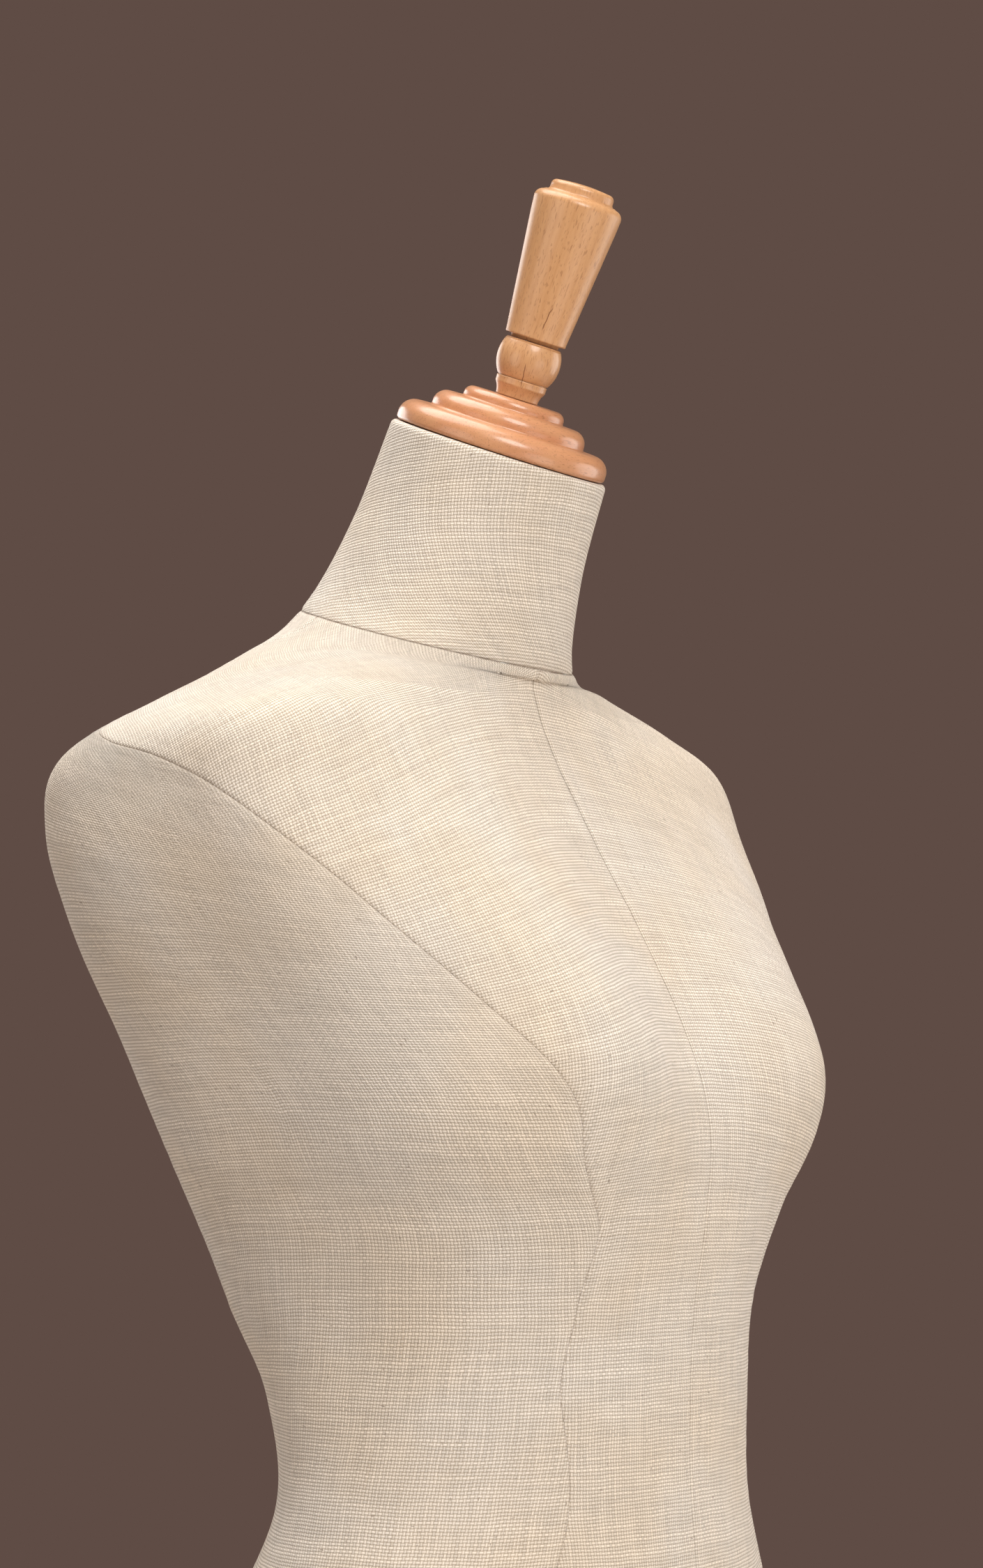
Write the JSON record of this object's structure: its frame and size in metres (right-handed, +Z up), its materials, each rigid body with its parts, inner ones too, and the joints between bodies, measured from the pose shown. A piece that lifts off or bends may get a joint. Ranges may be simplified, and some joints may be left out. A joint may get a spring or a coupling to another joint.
{
  "type": "dress form mannequin",
  "caption": "Linen-covered female dress form with a turned wooden neck cap and handle, on a height-adjustable pole and a three-legged turned wooden stand.",
  "frame": {"origin": "on the floor, under the axis of the pole", "axes": "+Z up along the pole, -Y the way the form faces, +X to the viewer's right when facing the form"},
  "size_m": [0.5412, 0.4688, 1.5838],
  "materials": {
    "linen": "coarse natural plain-weave linen, undyed",
    "wadding": "needled polyester wadding",
    "moulding": "moulded fibreglass, unpainted",
    "plywood": "raw birch plywood and softwood",
    "beech": "turned beech with clear gloss lacquer",
    "steel": "zinc-plated and brushed steel",
    "black_steel": "black oxide or black lacquered steel",
    "brass": "turned brass, lightly dulled",
    "rubber": "black rubber",
    "nylon": "natural nylon"
  },
  "bodies": {
    "stand": {"column": "beech", "sleeve_tube": "black_steel", "guide_bush": "nylon", "clamp_collar": "brass", "collar_screws": "brass", "leg_front": "beech", "leg_left": "beech", "leg_right": "beech", "leg_dowels": "plywood", "bottom_button": "beech", "foot_front": "rubber", "foot_left": "rubber", "foot_right": "rubber"},
    "pole": {"pole": "steel", "pole_end_plug": "rubber"},
    "clamp_pad": {"pressure_pad": "brass"},
    "knob": {"clamp_screw": "steel", "clamp_knob": "beech"},
    "form": {"cover_front_left": "linen", "cover_front_right": "linen", "cover_side_left": "linen", "cover_side_right": "linen", "cover_back_left": "linen", "cover_back_right": "linen", "neck_cover": "linen", "underside_cloth": "linen", "wadding_front": "wadding", "wadding_back": "wadding", "shell_front": "moulding", "shell_back": "moulding", "base_board": "plywood", "neck_plug": "plywood", "neck_cap": "beech", "finial_ball": "beech", "finial_handle": "beech", "board_screws": "steel", "plug_screws": "steel", "finial_stud": "steel", "stud_washer": "steel", "stud_nut": "steel", "flange_bolts": "steel", "flange_nuts": "steel", "socket_flange": "steel", "retaining_screw": "black_steel", "thrust_disc": "nylon"}
  },
  "joints": [
    {"name": "pole_slide", "type": "slide", "parent": "stand", "child": "pole", "axis": [0, 0, 1], "range_m": [-0.12, 0.18]},
    {"name": "form_turn", "type": "hinge", "parent": "pole", "child": "form", "pos_m": [0, 0, 0.8], "axis": [0, 0, 1], "continuous": true},
    {"name": "pad_slide", "type": "slide", "parent": "stand", "child": "clamp_pad", "axis": [0, 1, 0], "range_m": [0, 0.0025]},
    {"name": "knob_turn", "type": "hinge", "parent": "clamp_pad", "child": "knob", "pos_m": [0, 0.04, 0.585], "axis": [0, 1, 0], "range_deg": [0, 720]}
  ],
  "couplings": [
    {"joint": "knob_turn", "follows": "pad_slide", "rad_per_m": 5026.5}
  ]
}
